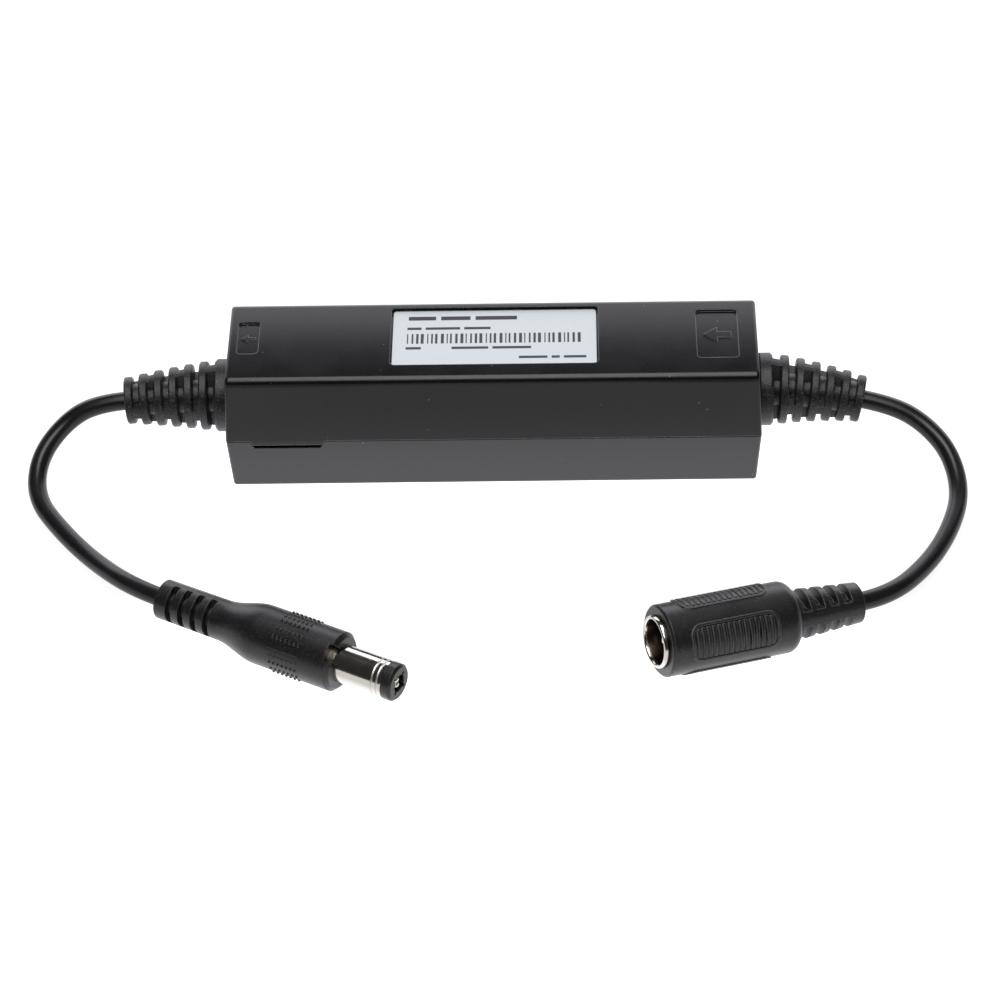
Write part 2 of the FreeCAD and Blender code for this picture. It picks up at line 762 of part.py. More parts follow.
def jack_moulding():
    front = jack_front()
    start = jack_relief_length
    arc_end = start + jack_shoulder_radius
    shoulder_foot = jack_body_radius - jack_shoulder_radius
    corner = jack_shoulder_radius * (1 - math.sqrt(0.5))
    arc = Part.Arc(Vector(start, 0, shoulder_foot),
                   Vector(start + corner, 0, jack_body_radius - corner),
                   Vector(arc_end, 0, jack_body_radius)).toShape()
    outline = [(arc_end, jack_body_radius), (front - jack_front_edge, jack_body_radius),
               (front, jack_body_radius - jack_front_edge), (front, 0), (0, 0),
               (0, jack_relief_rear_radius), (start, jack_relief_front_radius),
               (start, shoulder_foot)]
    edges = [Part.LineSegment(Vector(a[0], 0, a[1]), Vector(b[0], 0, b[1])).toShape()
             for a, b in zip(outline, outline[1:])]
    profile = Part.Wire(Part.__sortEdges__(edges + [arc]))
    body = Part.Face(profile).revolve(Vector(0, 0, 0), X_AXIS, 360)
    body.rotate(Vector(0, 0, 0), X_AXIS, 180 / pad_count)
    windows = [relief_groove(jack_window_start + i * jack_window_pitch, jack_window_width,
                             jack_window_core, jack_web_width, False)
               for i in range(jack_window_count)]
    body = body.cut(windows)
    border, ribs = grip_pad()
    additions = []
    for i in range(pad_count):
        for piece in [border] + ribs:
            turned = piece.copy()
            turned.rotate(Vector(0, 0, 0), X_AXIS, i * 360 / pad_count)
            additions.append(turned)
    body = fused(body, additions)
    socket_start = front - socket_depth
    return body.cut(rod(socket_outer_radius, socket_depth + 1, Vector(socket_start, 0, 0)))


def jack_sleeve():
    front = jack_front()
    inner = socket_outer_radius - socket_wall
    start = front - socket_depth
    end = front + socket_proud
    return revolved([(start, inner), (start, socket_outer_radius),
                     (end - socket_lip, socket_outer_radius),
                     (end, socket_outer_radius - socket_lip), (end, inner + socket_lip / 2),
                     (end - socket_lip / 2, inner)])


def jack_insulator():
    """The moulded floor of the socket, which holds the centre pin."""
    start = jack_front() - socket_depth
    floor = rod(socket_outer_radius - socket_wall, socket_floor_thickness, Vector(start, 0, 0))
    return floor.cut(rod(pin_radius, socket_floor_thickness, Vector(start, 0, 0)))


def jack_centre_pin():
    """A turned pin with a domed end, set back inside the socket's mouth."""
    start = jack_front() - socket_depth
    end = jack_front() + socket_proud - pin_setback
    shank = rod(pin_radius, end - pin_radius - start, Vector(start, 0, 0))
    dome = Part.makeSphere(pin_radius, Vector(end - pin_radius, 0, 0))
    return fused(shank, [dome])


def jack_spring_contact():
    """A bowed leaf that presses on the barrel's side, let in along the sleeve."""
    start = jack_front() - socket_depth + socket_floor_thickness
    radius = socket_outer_radius - socket_wall - socket_clearance
    ends = radius - spring_width * spring_width / (8 * radius)
    outer = Part.Arc(Vector(start, 0, ends), Vector(start + spring_length / 2, 0, ends - spring_bow),
                     Vector(start + spring_length, 0, ends)).toShape()
    inner = Part.Arc(Vector(start, 0, ends - spring_thickness),
                     Vector(start + spring_length / 2, 0, ends - spring_bow - spring_thickness),
                     Vector(start + spring_length, 0, ends - spring_thickness)).toShape()
    caps = [Part.LineSegment(Vector(x, 0, ends), Vector(x, 0, ends - spring_thickness)).toShape()
            for x in (start, start + spring_length)]
    face = Part.Face(Part.Wire(Part.__sortEdges__([outer, inner] + caps)))
    leaf = face.extrude(Vector(0, spring_width, 0))
    leaf.translate(Vector(0, -spring_width / 2, 0))
    return leaf


# Circuit board and what stands on it
def circuit_board():
    board = block((board_length, board_width, board_thickness), (0, 0), board_height)
    holes = []
    for side_x in (-1, 1):
        peg = Vector(side_x * peg_centre[0], side_x * peg_centre[1], board_height)
        holes.append(rod(peg_radius + fit_clearance, board_thickness, peg, Z_AXIS))
    return board.cut(holes)


def transformer_core():
    """A closed E-core: two outer limbs, a centre limb and two yokes."""
    foot = board_top + bobbin_foot
    core = block((core_length, core_thickness, core_height), (0, 0), foot)
    window_width = (core_length - 2 * core_limb - core_centre_limb) / 2
    window_height = core_height - 2 * core_limb
    shift = (core_centre_limb + window_width) / 2
    windows = [block((window_width, core_thickness, window_height), (side * shift, 0),
                     foot + core_limb) for side in (-1, 1)]
    return core.cut(windows)


def bobbin_levels():
    low = board_top + bobbin_foot + core_limb
    high = low + core_height - 2 * core_limb
    return low, high


def bobbin_tube_size():
    return (core_centre_limb + 2 * bobbin_wall + 2 * fit_clearance,
            core_thickness + 2 * bobbin_wall + 2 * fit_clearance)


def transformer_bobbin():
    """A flanged former round the centre limb, with two feet on the board."""
    low, high = bobbin_levels()
    tube_x, tube_y = bobbin_tube_size()
    window = (core_length - 2 * core_limb) - 2 * fit_clearance
    gap = fit_clearance
    former = block((tube_x, tube_y, high - low - 2 * gap), (0, 0), low + gap)
    flanges = [block((window, bobbin_width, bobbin_flange), (0, 0), foot)
               for foot in (low + gap, high - gap - bobbin_flange)]
    foot_width = (bobbin_width - core_thickness) / 2 - 2 * fit_clearance
    feet = []
    for side in (-1, 1):
        centre = (0, side * (bobbin_width - foot_width) / 2)
        feet.append(block((window, foot_width, low + gap - board_top), centre, board_top))
    bore = block((core_centre_limb + 2 * gap, core_thickness + 2 * gap, high - low), (0, 0), low)
    return fused(former, flanges + feet).cut(bore)


def transformer_winding():
    """The wire wound on the former between its flanges."""
    low, high = bobbin_levels()
    foot = low + fit_clearance + bobbin_flange
    height = high - low - 2 * (fit_clearance + bobbin_flange)
    tube_x, tube_y = bobbin_tube_size()
    outer_x = core_length - 2 * core_limb - 2 * fit_clearance - 2 * winding_gap
    outer_y = bobbin_width - 4 * winding_gap
    outer = rounded_plate((outer_x, outer_y), (0, 0), foot, height, winding_corner)
    return outer.cut(block((tube_x, tube_y, height), (0, 0), foot))


def choke_core():
    centre = Vector(*choke_place, board_top + choke_stand + choke_wire)
    ring = rod(choke_outer_radius, choke_height, centre, Z_AXIS)
    return ring.cut(rod(choke_inner_radius, choke_height, centre, Z_AXIS))


def choke_windings():
    """Two windings on opposite arcs of the ring core."""
    foot = board_top + choke_stand
    height = choke_height + 2 * choke_wire
    start = Vector(*choke_place, foot)
    outer = Part.makeCylinder(choke_outer_radius + choke_wire, height, start, Z_AXIS,
                              choke_sector_deg)
    inner = rod(choke_inner_radius - choke_wire, height, start, Z_AXIS)
    sector = outer.cut([inner, choke_core()])
    pair = []
    for turn in (-choke_sector_deg / 2, 180 - choke_sector_deg / 2):
        turned = sector.copy()
        turned.rotate(start, Z_AXIS, turn)
        pair.append(turned)
    legged = []
    for side, winding in zip((1, -1), pair):
        place = (start.x + side * (choke_outer_radius - choke_leg_width / 2), start.y)
        leg = block((choke_leg_width, choke_leg_width, choke_stand), place, board_top)
        legged.append(fused(winding, [leg]))
    return Part.makeCompound(legged)


def electrolytic(place):
    """A can with a rolled groove near its foot and a shallow scored vent on top."""
    can = rod(capacitor_radius, capacitor_height, Vector(*place, board_top), Z_AXIS)
    start = Vector(*place, board_top + capacitor_groove_height)
    neck = rod(capacitor_radius - capacitor_groove_depth, capacitor_groove_width, start, Z_AXIS)
    ring = rod(2 * capacitor_radius, capacitor_groove_width, start, Z_AXIS).cut(neck)
    foot = board_top + capacitor_height - capacitor_vent_depth
    vents = [block((capacitor_vent_length, capacitor_vent_width, 1), place, foot),
             block((capacitor_vent_width, capacitor_vent_length, 1), place, foot)]
    return can.cut([ring] + vents)


def package(name, legs_along_x=False, hung=False):
    """A moulded body with legs on two sides, on top of the board or hung below it."""
    size, place, legs_per_side, pitch, leg_reach = packages[name]
    foot = board_height - package_stand - size[2] if hung else board_top + package_stand
    solid = block(size, place, foot)
    leg_height = size[2] / 2 + package_stand
    leg_foot = board_height - leg_height if hung else board_top
    leg_length = leg_reach + package_leg_root
    legs = []
    for side in (-1, 1):
        for i in range(legs_per_side):
            offset = (i - (legs_per_side - 1) / 2) * pitch
            half = (size[1] if legs_along_x else size[0]) / 2
            reach = side * (half - package_leg_root + leg_length / 2)
            leg_size = (leg_length, package_leg_width, leg_height)
            centre = (place[0] + reach, place[1] + offset)
            if legs_along_x:
                leg_size = (package_leg_width, leg_length, leg_height)
                centre = (place[0] + offset, place[1] + reach)
            legs.append(block(leg_size, centre, leg_foot))
    return fused(solid, legs)


def isolation_capacitor():
    """A ceramic disc on edge with two wire legs."""
    rise = disc_stand + disc_radius
    x, y = disc_place
    disc = rod(disc_radius, disc_thickness, Vector(x, y - disc_thickness / 2, board_top + rise),
               Y_AXIS)
    legs = [rod(disc_leg_radius, rise, Vector(x + side * disc_leg_spacing / 2, y, board_top),
                Z_AXIS)
            for side in (-1, 1)]
    return fused(disc, legs)


def chip_components():
    """The small two-ended chips below the board, one group of equal blocks."""
    foot = board_height - chip_size[2]
    return Part.makeCompound([block(chip_size, place, foot) for place in chip_places])


def conductor(side, row):
    """An insulated wire from the boot's inner face to its place on the board."""
    start_x = flange_outer_x - flange_thickness
    offset = row * wire_spacing / 2
    pad = (side * (board_length / 2 - wire_pad_inset), row * wire_pad_spacing / 2)
    points = [(side * start_x, offset, boot_axis_height),
              (side * (start_x - wire_exit_run), offset, boot_axis_height),
              (*pad, board_top + wire_drop_run), (*pad, board_top)]
    return tube(points, wire_radius)[0]


def checked_lead(name, points):
    """A lead's tube, with its points, arc radii and volume reported."""
    solid, radii, length = tube(points, lead_diameter / 2)
    section = math.pi * lead_diameter * lead_diameter / 4
    print(name, "points", [tuple(round(c, 2) for c in point) for point in points])
    print(name, "arc radii", [round(r, 1) for r in radii])
    print(name, "length", round(length, 2), "volume over section", round(solid.Volume / section, 2))
    return solid


plug_frame = (plug_rear, plug_azimuth_deg, plug_lift_deg, plug_roll_deg)
jack_frame = (jack_rear, jack_azimuth_deg, jack_lift_deg, jack_roll_deg)
output_points = lead_points(-1, output_boot_bend_deg, output_route, plug_frame)
input_points = lead_points(1, input_boot_bend_deg, input_route, jack_frame)

nodes = {
    "upper_shell": upper_shell(),
    "lower_shell": lower_shell(),
    "rating_label": rating_label(),
    "output_boot": at_case_end(boot(output_boot_bend_deg), -1),
    "input_boot": at_case_end(boot(input_boot_bend_deg), 1),
    "output_lead": checked_lead("output_lead", output_points),
    "input_lead": checked_lead("input_lead", input_points),
    "plug_moulding": in_frame(plug_moulding(), *plug_frame),
    "plug_sleeve": in_frame(plug_sleeve(), *plug_frame),
    "plug_insulator": in_frame(plug_insulator(), *plug_frame),
    "plug_centre_contact": in_frame(plug_centre_contact(), *plug_frame),
    "jack_moulding": in_frame(jack_moulding(), *jack_frame),
    "jack_sleeve": in_frame(jack_sleeve(), *jack_frame),
    "jack_insulator": in_frame(jack_insulator(), *jack_frame),
    "jack_centre_pin": in_frame(jack_centre_pin(), *jack_frame),
    "jack_spring_contact": in_frame(jack_spring_contact(), *jack_frame),
    "circuit_board": circuit_board(),
    "transformer_core": transformer_core(),
    "transformer_bobbin": transformer_bobbin(),
    "transformer_winding": transformer_winding(),
    "choke_core": choke_core(),
    "choke_windings": choke_windings(),
    "input_capacitor": electrolytic(input_capacitor_place),
    "output_capacitor": electrolytic(output_capacitor_place),
    "controller_chip": package("controller_chip", legs_along_x=True, hung=True),
    "optocoupler": package("optocoupler"),
    "rectifier_diode": package("rectifier_diode"),
    "switching_transistor": package("switching_transistor", legs_along_x=True),
    "isolation_capacitor": isolation_capacitor(),
    "input_fuse": package("input_fuse"),
    "chip_components": chip_components(),
    "input_live_wire": conductor(1, -1),
    "input_return_wire": conductor(1, 1),
    "output_live_wire": conductor(-1, -1),
    "output_return_wire": conductor(-1, 1),
}

for name, shape in nodes.items():
    if not shape.isValid():
        raise ValueError("invalid shape in " + name)
    shape.exportStep("parts/" + name + ".step")
    box = shape.BoundBox
    print(name, len(shape.Solids), "solids", round(shape.Volume, 2), "mm3", "z",
          round(box.ZMin, 2), round(box.ZMax, 2))
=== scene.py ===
import bmesh
import bpy
import math
from mathutils import Matrix, Vector


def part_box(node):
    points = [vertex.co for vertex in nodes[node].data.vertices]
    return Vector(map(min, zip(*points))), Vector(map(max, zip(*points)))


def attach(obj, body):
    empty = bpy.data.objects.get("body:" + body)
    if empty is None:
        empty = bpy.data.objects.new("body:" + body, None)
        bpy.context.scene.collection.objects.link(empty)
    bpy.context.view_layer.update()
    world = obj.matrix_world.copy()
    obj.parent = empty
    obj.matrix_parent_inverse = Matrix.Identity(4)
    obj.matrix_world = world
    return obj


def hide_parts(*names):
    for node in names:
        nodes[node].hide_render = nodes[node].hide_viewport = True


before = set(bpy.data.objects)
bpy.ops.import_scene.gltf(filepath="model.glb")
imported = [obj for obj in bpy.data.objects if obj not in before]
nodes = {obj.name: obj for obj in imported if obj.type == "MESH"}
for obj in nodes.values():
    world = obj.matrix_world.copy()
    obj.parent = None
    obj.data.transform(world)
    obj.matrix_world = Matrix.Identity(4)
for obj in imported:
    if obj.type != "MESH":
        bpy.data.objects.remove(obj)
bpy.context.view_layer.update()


# The camera stands 41 degrees above the table, a little to the right of the case's middle,
# with a long lens, and is rolled slightly, as the photograph was taken.
camera_place = (0.0116183, -0.4208972, 0.3546145)
camera_lift = math.radians(41.0)
camera_turn = 0.0265
camera_roll = -0.0283
camera_data = bpy.data.cameras.new("camera")
camera_data.sensor_width = 36.0
camera_data.lens = 129.73
camera_data.clip_start = 0.01
camera = bpy.data.objects.new("camera", camera_data)
camera.matrix_world = (Matrix.Translation(camera_place) @ Matrix.Rotation(camera_turn, 4, "Z")
                       @ Matrix.Rotation(math.radians(90) - camera_lift, 4, "X")
                       @ Matrix.Rotation(camera_roll, 4, "Z"))
bpy.context.scene.collection.objects.link(camera)
bpy.context.scene.camera = camera


# The case is two half shells of black moulded plastic that snap together at the parting
# line. Their mould is spark-eroded, which leaves a fine even grain, and a few pale specks
# of dust lie on them.
class Socket:
    """A socket in a finish's node tree. Sums and products of sockets add their Math nodes."""

    def __init__(self, tree, out=None):
        self.tree = tree
        self.out = out

    def node(self, kind, sockets=None, output=0, **settings):
        """Add a node: its settings come first, then the values or links of its sockets."""
        made = self.tree.nodes.new("ShaderNode" + kind)
        for name, value in settings.items():
            setattr(made, name, value)
        for name, value in (sockets or {}).items():
            if isinstance(value, Socket):
                self.tree.links.new(value.out, made.inputs[name])
            else:
                made.inputs[name].default_value = value
        return Socket(self.tree, made.outputs[output] if made.outputs else None)

    def maths(self, operation, *values):
        return self.node("Math", dict(enumerate(values)), operation=operation)

    def __add__(self, other):
        return self.maths("ADD", self, other)

    def __sub__(self, other):
        return self.maths("SUBTRACT", self, other)

    def __rsub__(self, other):
        return self.maths("SUBTRACT", other, self)

    def __mul__(self, other):
        return self.maths("MULTIPLY", self, other)

    __radd__ = __add__
    __rmul__ = __mul__

    def axis(self, letter):
        """These coordinates along X, Y or Z."""
        return self.node("SeparateXYZ", {"Vector": self}, letter)

    def dot(self, vector):
        """How far these coordinates reach along a vector."""
        return self.node("VectorMath", {0: self, 1: vector}, "Value", operation="DOT_PRODUCT")

    def over(self, edge):
        """How far this value reaches beyond an edge on either side, and 0 within it."""
        return self.maths("MAXIMUM", self.maths("ABSOLUTE", self) - edge, 0.0)

    def step(self, low, high):
        """Rises smoothly from 0 at low to 1 at high."""
        return self.node("MapRange", {"Value": self, "From Min": low, "From Max": high},
                         interpolation_type="SMOOTHSTEP")

    def between(self, low, high, blur):
        """1 from low to high and 0 outside, with a blur at both edges."""
        return self.step(low - blur, low + blur) * (1 - self.step(high - blur, high + blur))

    def colours(self, first, second):
        """A blend of two colours, by this socket's value."""
        return self.node("Mix", {0: self, 6: first, 7: second}, 2, data_type="RGBA")

    def noise(self, size, detail=2.0):
        """Even noise on these coordinates, with blotches of that size in metres."""
        return self.node("TexNoise", {"Vector": self, "Scale": 1 / size, "Detail": detail})

    def bump(self, distance, **sockets):
        """The normal of a relief that rises by a distance in metres where this socket is 1."""
        return self.node("Bump", {"Height": self, "Distance": distance, **sockets})

    def close(self, **inputs):
        """End the finish in one shader, with its inputs by name."""
        named = {name.replace("_", " "): value for name, value in inputs.items()}
        shader = self.node("BsdfPrincipled", named)
        self.node("OutputMaterial", {"Surface": shader})


def shade(colour, strength=1.0):
    """A colour as a socket takes it, from red, green and blue."""
    return (*(strength * part for part in colour), 1.0)


def grey(value):
    return shade((value, value, value))


def new_finish(name):
    """An empty finish, and a Socket with the piece's own coordinates in metres."""
    material = bpy.data.materials.new(name)
    material.use_nodes = True
    material.node_tree.nodes.clear()
    return material, Socket(material.node_tree).node("TexCoord", output="Object")


def give(material, *names):
    """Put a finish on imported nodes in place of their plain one."""
    for name in names:
        nodes[name].data.materials.clear()
        nodes[name].data.materials.append(material)


roof_lean = 0.035
roof_crown = 4.6
dust_grey = 0.12


def black_moulding(name, colour, gloss, grain, depth, edge, shine=0.5, crown=0.0, dust=0.0,
                   painted_edge_highlight=0.0, painted_grain_glint=0.0):
    """Black polymer as it leaves its mould, with grain of a size and depth.

    Its edges are softened by a radius, shine is how strongly it reflects, crown bows a roof, dust
    is the spacing of the specks, and painted edge highlights and painted grain glints are grey.
    """
    material, place = new_finish(name)
    mottle = place.noise(0.006)
    fine = place.noise(grain, 3.0)
    relief = fine * depth
    if crown:
        across = place.axis("Y")
        relief = relief + across * roof_lean - across * across * crown
    rounded = place.node("Bevel", {"Radius": edge}, samples=6)
    tint = mottle.colours(shade(colour, 0.8), shade(colour, 1.25))
    # Painted glints: the tops of the grain are lightened in the colour, in place of the sparkle of
    # its gloss.
    if painted_grain_glint:
        on_painted_glint = fine.step(0.52, 0.66)
        tint = on_painted_glint.colours(tint, grey(painted_grain_glint))
    # Painted highlight: every edge, convex and hollow, is lightened to grey in the colour, in
    # place of the highlights that edges catch.
    if painted_edge_highlight:
        flat = place.node("NewGeometry", output="Normal")
        off_painted_highlight = rounded.dot(flat).step(0.75, 0.97)
        tint = off_painted_highlight.colours(grey(painted_edge_highlight), tint)
    if dust:
        specks = place.node("TexVoronoi", {"Vector": place, "Scale": 1 / dust}, "Distance")
        off_speck = specks.step(0.03, 0.045)
        tint = off_speck.colours(grey(dust_grey), tint)
    place.close(Base_Color=tint, Roughness=gloss + 0.12 * (mottle - 0.5),
                Specular_IOR_Level=shine, Normal=relief.bump(1.0, Normal=rounded))
    return material


case_grain = {"grain": 0.00012, "depth": 0.000003, "dust": 0.003}
# The upper shell's edges carry the painted highlight.
give(black_moulding("upper_case_grain", (0.0035, 0.0035, 0.0041), gloss=0.27, edge=0.0002,
                    shine=0.29, crown=roof_crown, painted_edge_highlight=0.19, **case_grain),
     "upper_shell")
give(black_moulding("lower_case_grain", (0.007, 0.007, 0.0078), gloss=0.30, edge=0.00015,
                    shine=0.54, **case_grain),
     "lower_shell")


# The label is white satin film laid in the roof's recess. Its print is plain: four rows of
# short strips, the top row thicker, and between them a row of bars in four widths.
label_low, label_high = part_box("rating_label")
label_size = label_high - label_low
label_finish, place = new_finish("label_film")
label_x = place.axis("X")
label_y = place.axis("Y")
print_blur = 0.00004


def strip(left, right, top, bottom):
    """A printed strip, from its edges as shares of the label's length and width."""
    return (label_x.between(label_low.x + left * label_size.x,
                            label_low.x + right * label_size.x, print_blur)
            * label_y.between(label_high.y - bottom * label_size.y,
                              label_high.y - top * label_size.y, print_blur))


strip_rows = [(0.10, 0.17, [(0.075, 0.21), (0.235, 0.38), (0.405, 0.61)]),
              (0.30, 0.345, [(0.07, 0.14), (0.16, 0.33), (0.35, 0.48)]),
              (0.66, 0.705, [(0.065, 0.14), (0.29, 0.47), (0.49, 0.68)]),
              (0.84, 0.885, [(0.62, 0.76), (0.78, 0.82), (0.84, 0.95)])]
marks = [strip(left, right, top, bottom)
         for top, bottom, spans in strip_rows for left, right in spans]
bar_count = 36
bar_top = 0.42
bar_bottom = 0.60
thin_bar = 0.006
wide_gap = 0.0165
bar_step = 0.003
bar_left = 0.07
for bar in range(bar_count):
    bar_right = bar_left + thin_bar + bar_step * (bar % 4)
    marks.append(strip(bar_left, bar_right, bar_top, bar_bottom))
    bar_left = bar_right + wide_gap - bar_step * (bar % 3)
printed = sum(marks)
film = place.noise(0.0008).colours(shade((0.60, 0.64, 0.67)), shade((0.63, 0.67, 0.70)))
ink = shade((0.02, 0.02, 0.025))
place.close(Base_Color=printed.colours(film, ink), Roughness=0.42 + 0.1 * printed,
            Normal=place.noise(0.0004).bump(0.000004))
give(label_finish, "rating_label")


# The strain relief boots are soft black rubber, moulded round the leads, with a collar and
# six ribs that leave the sleeve's core showing in alternate windows.
# The boots' grain carries the strongest painted glints.
give(black_moulding("boot_rubber", (0.006, 0.006, 0.0068), gloss=0.42, grain=0.00027,
                    depth=0.00003, edge=0.00012, shine=0.35, painted_grain_glint=0.045),
     "output_boot", "input_boot")


# The barrel plug is overmoulded in soft black plastic. Rows of small blunt pips on its mould
# halves give the fingers a hold, and a fine mould line runs along each side.
def connector_place(rear, azimuth, lift, roll):
    """Where a connector that is modelled along +X lies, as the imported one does."""
    return (Matrix.Translation(rear) @ Matrix.Rotation(math.radians(azimuth), 4, "Z")
            @ Matrix.Rotation(math.radians(-lift), 4, "Y")
            @ Matrix.Rotation(math.radians(roll), 4, "X"))


plug_place = connector_place((-0.0473, -0.0384, 0.00379), -29.44, 2.0, -25.0)


def on_plug(turn, along, out):
    """A place on the plug: a turn about its axis, a distance along it and one out from it."""
    return (plug_place @ Matrix.Rotation(math.radians(-turn), 4, "X")
            @ Matrix.Translation((along, 0.0, out)))


def add_piece(name, shape, finish, smooth_deg=40.0):
    """Make a finished piece of a bmesh: outward faces, smooth but for its sharp edges."""
    bmesh.ops.remove_doubles(shape, verts=shape.verts, dist=1e-7)
    bmesh.ops.recalc_face_normals(shape, faces=shape.faces)
    for face in shape.faces:
        face.smooth = True
    for edge in shape.edges:
        edge.smooth = edge.calc_face_angle(0.0) < math.radians(smooth_deg)
    mesh = bpy.data.meshes.new(name)
    shape.to_mesh(mesh)
    shape.free()
    mesh.materials.append(finish)
    piece = bpy.data.objects.new(name, mesh)
    bpy.context.scene.collection.objects.link(piece)
    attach(piece, "root")
    return piece


# Its edges carry a painted highlight and its grain's tops painted glints.
plug_finish = black_moulding("plug_moulding", (0.006, 0.006, 0.0068), gloss=0.38, grain=0.00027,
                             depth=0.000016, edge=0.00015, painted_edge_highlight=0.08, painted_grain_glint=0.022)
give(plug_finish, "plug_moulding")
first_pip = 0.0207
pip_pitch = 0.000713
pip_out = 0.00443
pip_stretch = Matrix.Diagonal((0.85, 1.3, 1.0, 1.0))
line_middle = 0.0229
line_out = 0.00438
line_size = Matrix.Diagonal((0.0052, 0.00012, 0.00012, 1.0))
grip = bmesh.new()
for turn in (-152, -136, -118, -101, -64, -48, -28, -14, 0, 14, 28, 48, 64, 101, 118, 136):
    for column in range(7):
        pip = bmesh.ops.create_cone(grip, segments=6, radius1=0.00036, radius2=0.00013,
                                    depth=0.0003, cap_ends=True)["verts"]
        stand = on_plug(turn, first_pip + pip_pitch * column, pip_out)
        bmesh.ops.transform(grip, matrix=stand @ pip_stretch, verts=pip)
for turn in (-86, 86):
    mould_line = bmesh.ops.create_cube(grip, size=1.0)["verts"]
    stand = on_plug(turn, line_middle, line_out)
    bmesh.ops.transform(grip, matrix=stand @ line_size, verts=mould_line)
add_piece("plug_grip_pips", grip, plug_finish, 20.0)


# The barrel is drawn and turned brass with bright nickel plate. It has a stepped root in the
# overmoulding and two fine beads rolled inwards by its rim, and holds the hard black tip ring.
mm = 0.001


def turned(outline, connector):
    """A closed shape turned round a connector's axis, from (distance, radius) in mm."""
    shape = bmesh.new()
    points = [shape.verts.new((s * mm, 0.0, r * mm)) for s, r in outline]
    edges = [shape.edges.new(pair) for pair in zip(points, points[1:] + points[:1])]
    bmesh.ops.spin(shape, geom=points + edges, cent=(0, 0, 0), axis=(1, 0, 0),
                   angle=math.radians(360), steps=96, use_merge=True)
    shape.transform(connector)
    return shape


def plate(name, colour, gloss, connector, bright_from, dull_and_shade, dull_gloss, beads=()):
    """Bright plate with fine turned rings, duller up to a distance in mm from the rear.

    In the jack's bore the duller colour is painted shade.
    """
    material, place = new_finish(name)
    direction = connector.to_3x3() @ Vector((1, 0, 0))
    rear = connector.translation.dot(direction)
    reach = place.dot(direction[:])
    rings = place.node("CombineXYZ", {"X": reach}).noise(0.00006, 3.0)
    mottle = place.noise(0.0015)
    start = rear + bright_from * mm
    bright = reach.step(start - 0.0001, start + 0.0001)
    tint = mottle.colours(shade(colour, 0.9), shade(colour))
    rough = dull_gloss + (gloss - dull_gloss) * bright + 0.08 * (mottle - 0.5)
    for bead in beads:
        away = (reach - (rear + bead * mm)).over(0.0)
        on_bead = 1 - away.step(0.00009, 0.00019)
        rough = rough + 0.32 * on_bead
    place.close(Base_Color=bright.colours(shade(dull_and_shade), tint), Metallic=1.0, Roughness=rough,
                Normal=rings.bump(0.000001))
    return material


bore = 2.35
wall = 2.75
bead_places = (36.6, 37.4)
bead_profile = [(-0.2, 0.0), (-0.14, 0.0), (-0.08, 0.04), (0.0, 0.055), (0.08, 0.04),
                (0.14, 0.0), (0.2, 0.0)]
barrel_outline = [(26.5, bore), (26.5, 3.4), (26.6, 3.5), (28.3, 3.5), (28.4, 3.4), (28.4, 3.1),
                  (29.7, 3.1), (29.75, 3.05), (29.75, 2.93), (30.02, 2.93), (30.02, wall)]
for bead in bead_places:
    barrel_outline += [(bead + offset, wall - sunk) for offset, sunk in bead_profile]
barrel_outline += [(38.02, wall), (38.1, 2.68), (38.1, bore)]
barrel_finish = plate("barrel_nickel", (0.58, 0.56, 0.51), 0.15, plug_place, 30.1,
                      (0.36, 0.33, 0.28), 0.35, bead_places)
barrel = add_piece("plug_barrel", turned(barrel_outline, plug_place), barrel_finish)
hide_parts("plug_sleeve")
give(black_moulding("tip_plastic", (0.012, 0.012, 0.012), gloss=0.34, grain=0.0002,
                    depth=0.000002, edge=0.00012),
     "plug_insulator")


# The plug's centre contact is a turned and split stem of tinned spring alloy, whose two
# round-ended prongs stand just inside the tip ring. The jack's spring is the same alloy.
contact_finish = plate("contact_tin", (0.80, 0.77, 0.70), 0.22, plug_place, 35.0,
                       (0.3, 0.28, 0.25), 0.3)
give(contact_finish, "jack_spring_contact")
prong_tip = 0.03905
prong_out = 0.00043
prong_radius = 0.0004
prong_length = 0.0075
prong_stretch = Matrix.Diagonal((1.0, 1.5, 1.0, 1.0))
prongs = bmesh.new()
for side in (-1, 1):
    prong = bmesh.ops.create_uvsphere(prongs, u_segments=24, v_segments=12,
                                      radius=prong_radius)["verts"]
    for corner in prong:
        if corner.co.x < 0:
            corner.co.x = -prong_length
    stand = on_plug(-20, prong_tip, side * prong_out)
    bmesh.ops.transform(prongs, matrix=stand @ prong_stretch, verts=prong)
fork = add_piece("plug_fork", prongs, contact_finish)
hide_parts("plug_centre_contact")


# A thin lip of the overmoulding closes round the barrel between the two grip notches, and
# leaves the barrel's steps to be seen in the notches.
lip_corners = [(30.06, 2.77), (30.28, 2.77), (30.28, 3.12), (30.06, 3.12)]
lip_sweep = math.radians(120)
lip = bmesh.new()
for turn in (92, 272):
    section = lip.faces.new([lip.verts.new((s * mm, 0.0, r * mm)) for s, r in lip_corners])
    start = Matrix.Rotation(math.radians(-turn), 4, "X")
    bmesh.ops.transform(lip, matrix=start, verts=section.verts)
    bmesh.ops.spin(lip, geom=[section] + section.edges[:] + section.verts[:], cent=(0, 0, 0),
                   axis=(1, 0, 0), angle=lip_sweep, steps=36)
lip.transform(plug_place)
bmesh.ops.holes_fill(lip, edges=lip.edges)
add_piece("plug_lip", lip, plug_finish)


# The barrel jack is overmoulded in the same soft black plastic as the plug, with four
# ribbed grip pads. Its nickel-plated sleeve is rolled outwards at the mouth, and its
# nickel-plated pin stands in a floor of dark plastic.
jack_place = connector_place((0.05214, -0.04055, 0.00366), 202.5, 7.2, 27.0)
